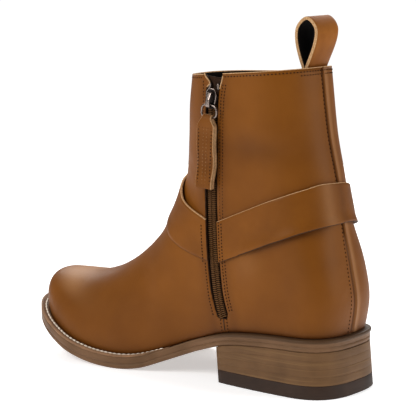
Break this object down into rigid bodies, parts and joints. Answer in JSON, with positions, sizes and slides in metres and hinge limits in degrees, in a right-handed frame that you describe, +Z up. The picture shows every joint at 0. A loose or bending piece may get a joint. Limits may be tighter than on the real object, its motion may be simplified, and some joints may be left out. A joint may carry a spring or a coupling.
{
  "type": "ankle boot",
  "caption": "Right-foot leather ankle boot with a round toe, an inside zip with a hanging pull, an ankle strap, a pull loop and a stacked heel.",
  "frame": {"origin": "on the floor, at the middle of the heel's flat bottom face", "axes": "+Z up, -Y towards the toe, +X towards the inner side of the right foot, where the zip is"},
  "size_m": [0.0943, 0.2593, 0.2434],
  "materials": {
    "upper_leather": "waxed, semi-matt",
    "strap_leather": "waxed, semi-matt",
    "loop_leather": "semi-matt",
    "tab_leather": "semi-matt",
    "welt_leather": "matt",
    "midsole_leather": "burnished edge",
    "outsole_rubber": "matt",
    "heel_stack": "burnished edge",
    "heel_rubber": "matt",
    "insole_board": "matt",
    "zip_tape": "woven",
    "zip_coil": "satin",
    "zip_metal": "dark nickel"
  },
  "bodies": {
    "boot": {"upper": "upper_leather", "strap": "strap_leather", "pull_loop": "loop_leather", "welt": "welt_leather", "midsole": "midsole_leather", "outsole": "outsole_rubber", "heel_lift_1": "heel_stack", "heel_lift_2": "heel_stack", "heel_lift_3": "heel_stack", "heel_lift_4": "heel_stack", "heel_top_piece": "heel_rubber", "insole": "insole_board", "zip_tape": "zip_tape", "zip_chain": "zip_coil", "zip_stop_front": "zip_metal", "zip_stop_rear": "zip_metal", "zip_slider": "zip_metal"},
    "zip_pull": {"pull_ring": "zip_metal", "pull_tab": "tab_leather"}
  },
  "joints": [
    {"name": "zip_pull_hinge", "type": "hinge", "parent": "boot", "child": "zip_pull", "pos_m": [0.04027, -0.0468, 0.18585], "axis": [0.0285, 0.9967, -0.0758], "range_deg": [-150, 0]}
  ]
}
